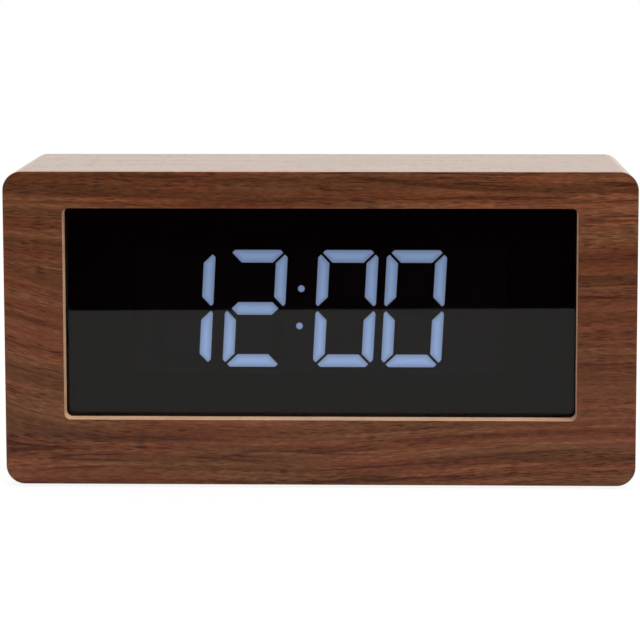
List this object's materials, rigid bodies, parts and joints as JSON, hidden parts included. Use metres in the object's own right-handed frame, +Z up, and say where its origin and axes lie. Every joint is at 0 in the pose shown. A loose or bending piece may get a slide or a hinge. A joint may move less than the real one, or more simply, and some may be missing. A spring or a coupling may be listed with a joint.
{
  "type": "table clock",
  "caption": "Dark wood box table clock with a recessed smoked window, lit seven-segment display, rear buttons, alarm slider, power inlet and coin-turn backup cell cap.",
  "frame": {"origin": "on the table under the middle of the case, at the bottom of the feet", "axes": "+X to the right along the width, +Y from the front face to the back, +Z up"},
  "size_m": [0.2, 0.065, 0.101],
  "materials": {
    "fibreboard": "raw sawn fibreboard, fine felted fibres",
    "walnut_veneer": "dark walnut veneer, satin lacquer, level wavy grain",
    "block_wood": "raw sawn softwood",
    "foot_rubber": "matt black foam rubber",
    "smoked_lens": "smoked acrylic, polished",
    "black_tape": "black foam tape",
    "carrier_plastic": "moulded black plastic, fine texture",
    "screw_steel": "zinc plated steel",
    "screw_black": "blackened steel",
    "housing_plastic": "matt black moulding",
    "light_bar": "milky diffuser",
    "circuit_board": "green solder mask",
    "led_chip": "phosphor filled package",
    "chip_resin": "black moulding resin",
    "header_plastic": "ivory nylon",
    "cable_plastic": "grey ribbon cable",
    "can_metal": "nickel plated can",
    "capacitor_sleeve": "dark blue sleeve",
    "contact_metal": "plated spring brass",
    "cover_plastic": "moulded black plastic, fine spark texture",
    "button_plastic": "satin dark grey plastic",
    "stem_plastic": "black nylon"
  },
  "bodies": {
    "case": {"case_shell": "fibreboard", "front_board": "fibreboard", "case_veneer": "walnut_veneer", "front_veneer": "walnut_veneer", "corner_blocks": "block_wood", "feet": "foot_rubber", "display_lens": "smoked_lens", "lens_tape": "black_tape", "display_carrier": "carrier_plastic", "carrier_screws": "screw_steel", "display_housing": "housing_plastic", "hours_tens_bars": "light_bar", "hours_units_bars": "light_bar", "colon_dots": "light_bar", "minutes_tens_bars": "light_bar", "minutes_units_bars": "light_bar", "display_board": "circuit_board", "display_leds": "led_chip", "display_board_screws": "screw_steel", "driver_chip": "chip_resin", "display_header": "header_plastic", "ribbon_cable": "cable_plastic", "main_header": "header_plastic", "main_board": "circuit_board", "main_board_screws": "screw_steel", "controller_chip": "chip_resin", "crystal": "can_metal", "capacitors": "capacitor_sleeve", "sounder": "chip_resin", "tact_switches": "chip_resin", "slide_switch": "can_metal", "dc_jack": "chip_resin", "dc_jack_pin": "contact_metal", "cell_holder": "chip_resin", "cell_contacts": "contact_metal", "coin_cell": "can_metal", "back_cover": "cover_plastic", "cover_screws": "screw_black"},
    "set_button": {"set_button": "button_plastic", "set_stem": "stem_plastic"},
    "alarm_button": {"alarm_button": "button_plastic", "alarm_stem": "stem_plastic"},
    "plus_button": {"plus_button": "button_plastic", "plus_stem": "stem_plastic"},
    "minus_button": {"minus_button": "button_plastic", "minus_stem": "stem_plastic"},
    "alarm_slider": {"alarm_slider": "button_plastic"},
    "cell_cap": {"cell_cap": "cover_plastic"}
  },
  "joints": [
    {"name": "set_press", "type": "slide", "parent": "case", "child": "set_button", "axis": [0, -1, 0], "range_m": [0, 0.0005], "stiffness_N_per_m": 2000},
    {"name": "alarm_press", "type": "slide", "parent": "case", "child": "alarm_button", "axis": [0, -1, 0], "range_m": [0, 0.0005], "stiffness_N_per_m": 2000},
    {"name": "plus_press", "type": "slide", "parent": "case", "child": "plus_button", "axis": [0, -1, 0], "range_m": [0, 0.0005], "stiffness_N_per_m": 2000},
    {"name": "minus_press", "type": "slide", "parent": "case", "child": "minus_button", "axis": [0, -1, 0], "range_m": [0, 0.0005], "stiffness_N_per_m": 2000},
    {"name": "alarm_slide", "type": "slide", "parent": "case", "child": "alarm_slider", "axis": [1, 0, 0], "range_m": [0, 0.002]},
    {"name": "cell_cap_turn", "type": "hinge", "parent": "case", "child": "cell_cap", "pos_m": [0.04, 0.0309, 0.043], "axis": [0, 1, 0], "range_deg": [0, 45]}
  ]
}
